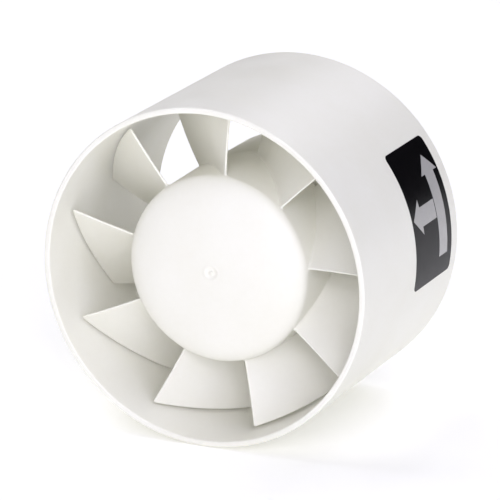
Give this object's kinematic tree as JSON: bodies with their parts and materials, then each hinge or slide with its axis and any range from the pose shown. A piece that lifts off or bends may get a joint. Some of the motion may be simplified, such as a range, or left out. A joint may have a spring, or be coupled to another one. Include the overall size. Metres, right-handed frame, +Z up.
{
  "type": "inline duct fan",
  "caption": "Round inline duct fan: a short plastic tube with arms that carry a central motor and an axial impeller, for mounting between two lengths of round duct.",
  "frame": {"origin": "centre of the casing, on the impeller's axis midway between the outlet and inlet rims", "axes": "the impeller's axis lies along Y with the outlet facing -Y and the inlet facing +Y; +Z is up"},
  "size_m": [0.148, 0.105, 0.148],
  "materials": {
    "white_plastic": "off-white moulded ABS, satin, soft sheen",
    "label_film": "dark printed vinyl label with pale arrows",
    "lamination_steel": "stacked electrical steel sheets, dull grey",
    "bright_steel": "zinc-plated steel",
    "copper_wire": "enamelled copper",
    "natural_nylon": "natural nylon, satin",
    "sintered_bronze": "oil-soaked sintered bronze, dull",
    "oil_felt": "oil-soaked wool felt",
    "die_cast_zinc": "as-cast zinc, dull",
    "cast_aluminium": "die-cast aluminium",
    "grey_rubber": "soft dark rubber, matte",
    "terminal_brass": "bright brass",
    "terminal_plastic": "pale polyamide, matte",
    "washer_fibre": "pressed fibre, matte",
    "blue_insulation": "blue PVC insulation",
    "brown_insulation": "brown PVC insulation",
    "fuse_sleeve": "pale sleeve"
  },
  "bodies": {
    "housing": {"casing": "white_plastic", "label": "label_film", "rear_cover": "white_plastic", "cover_screw_1": "bright_steel", "cover_screw_2": "bright_steel", "stator_core": "lamination_steel", "coil_core": "lamination_steel", "bobbin": "natural_nylon", "winding": "copper_wire", "thermal_fuse": "fuse_sleeve", "shading_ring_1": "copper_wire", "shading_ring_2": "copper_wire", "front_bearing_bracket": "die_cast_zinc", "rear_bearing_bracket": "die_cast_zinc", "front_bush": "sintered_bronze", "rear_bush": "sintered_bronze", "front_oil_felt": "oil_felt", "rear_oil_felt": "oil_felt", "front_bush_retainer": "bright_steel", "rear_bush_retainer": "bright_steel", "motor_screw_1": "bright_steel", "motor_screw_2": "bright_steel", "motor_spacer_1": "bright_steel", "motor_spacer_2": "bright_steel", "motor_damper_1": "grey_rubber", "motor_damper_2": "grey_rubber", "motor_nut_1": "bright_steel", "motor_nut_2": "bright_steel", "terminal_block": "terminal_plastic", "terminal_insert_1": "terminal_brass", "terminal_insert_2": "terminal_brass", "terminal_screw_1": "bright_steel", "terminal_screw_2": "bright_steel", "terminal_screw_3": "bright_steel", "terminal_screw_4": "bright_steel", "block_screw": "bright_steel", "cord_clamp": "terminal_plastic", "clamp_screw_1": "bright_steel", "clamp_screw_2": "bright_steel", "casing_grommet": "grey_rubber", "cup_grommet": "grey_rubber", "live_lead": "brown_insulation", "neutral_lead": "blue_insulation"},
    "rotor": {"impeller": "white_plastic", "shaft": "bright_steel", "rotor_core": "lamination_steel", "rotor_cage": "cast_aluminium", "hub_clamp_ring": "bright_steel", "front_thrust_washer": "washer_fibre", "rear_thrust_washer": "washer_fibre"}
  },
  "joints": [
    {"name": "impeller_spin", "type": "hinge", "parent": "housing", "child": "rotor", "pos_m": [0, 0, 0], "axis": [0, -1, 0], "continuous": true}
  ]
}
